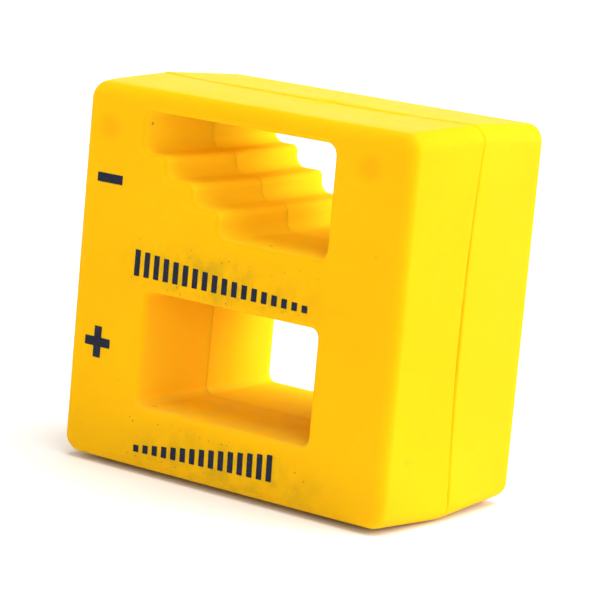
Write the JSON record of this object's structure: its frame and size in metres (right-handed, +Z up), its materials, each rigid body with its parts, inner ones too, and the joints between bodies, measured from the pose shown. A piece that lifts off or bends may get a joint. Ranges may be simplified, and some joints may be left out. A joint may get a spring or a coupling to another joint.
{
  "type": "screwdriver tip magnetiser and demagnetiser",
  "caption": "Hand-sized moulded block with a plain window for magnetising a screwdriver tip and a stepped window for demagnetising it, closed round ferrite plates.",
  "frame": {"origin": "middle of the underside of the block's bounding box", "axes": "+Z up, from the plain window to the stepped one; +Y from the marked front face to the rear face, along both windows; +X to the right of the front face"},
  "size_m": [0.052, 0.029, 0.05],
  "materials": {
    "yellow_plastic": "satin",
    "ferrite": "matte",
    "navy_ink": "matte"
  },
  "bodies": {
    "root": {"front_shell": "yellow_plastic", "rear_shell": "yellow_plastic", "bridge_magnet": "ferrite", "base_magnet": "ferrite"}
  },
  "joints": []
}
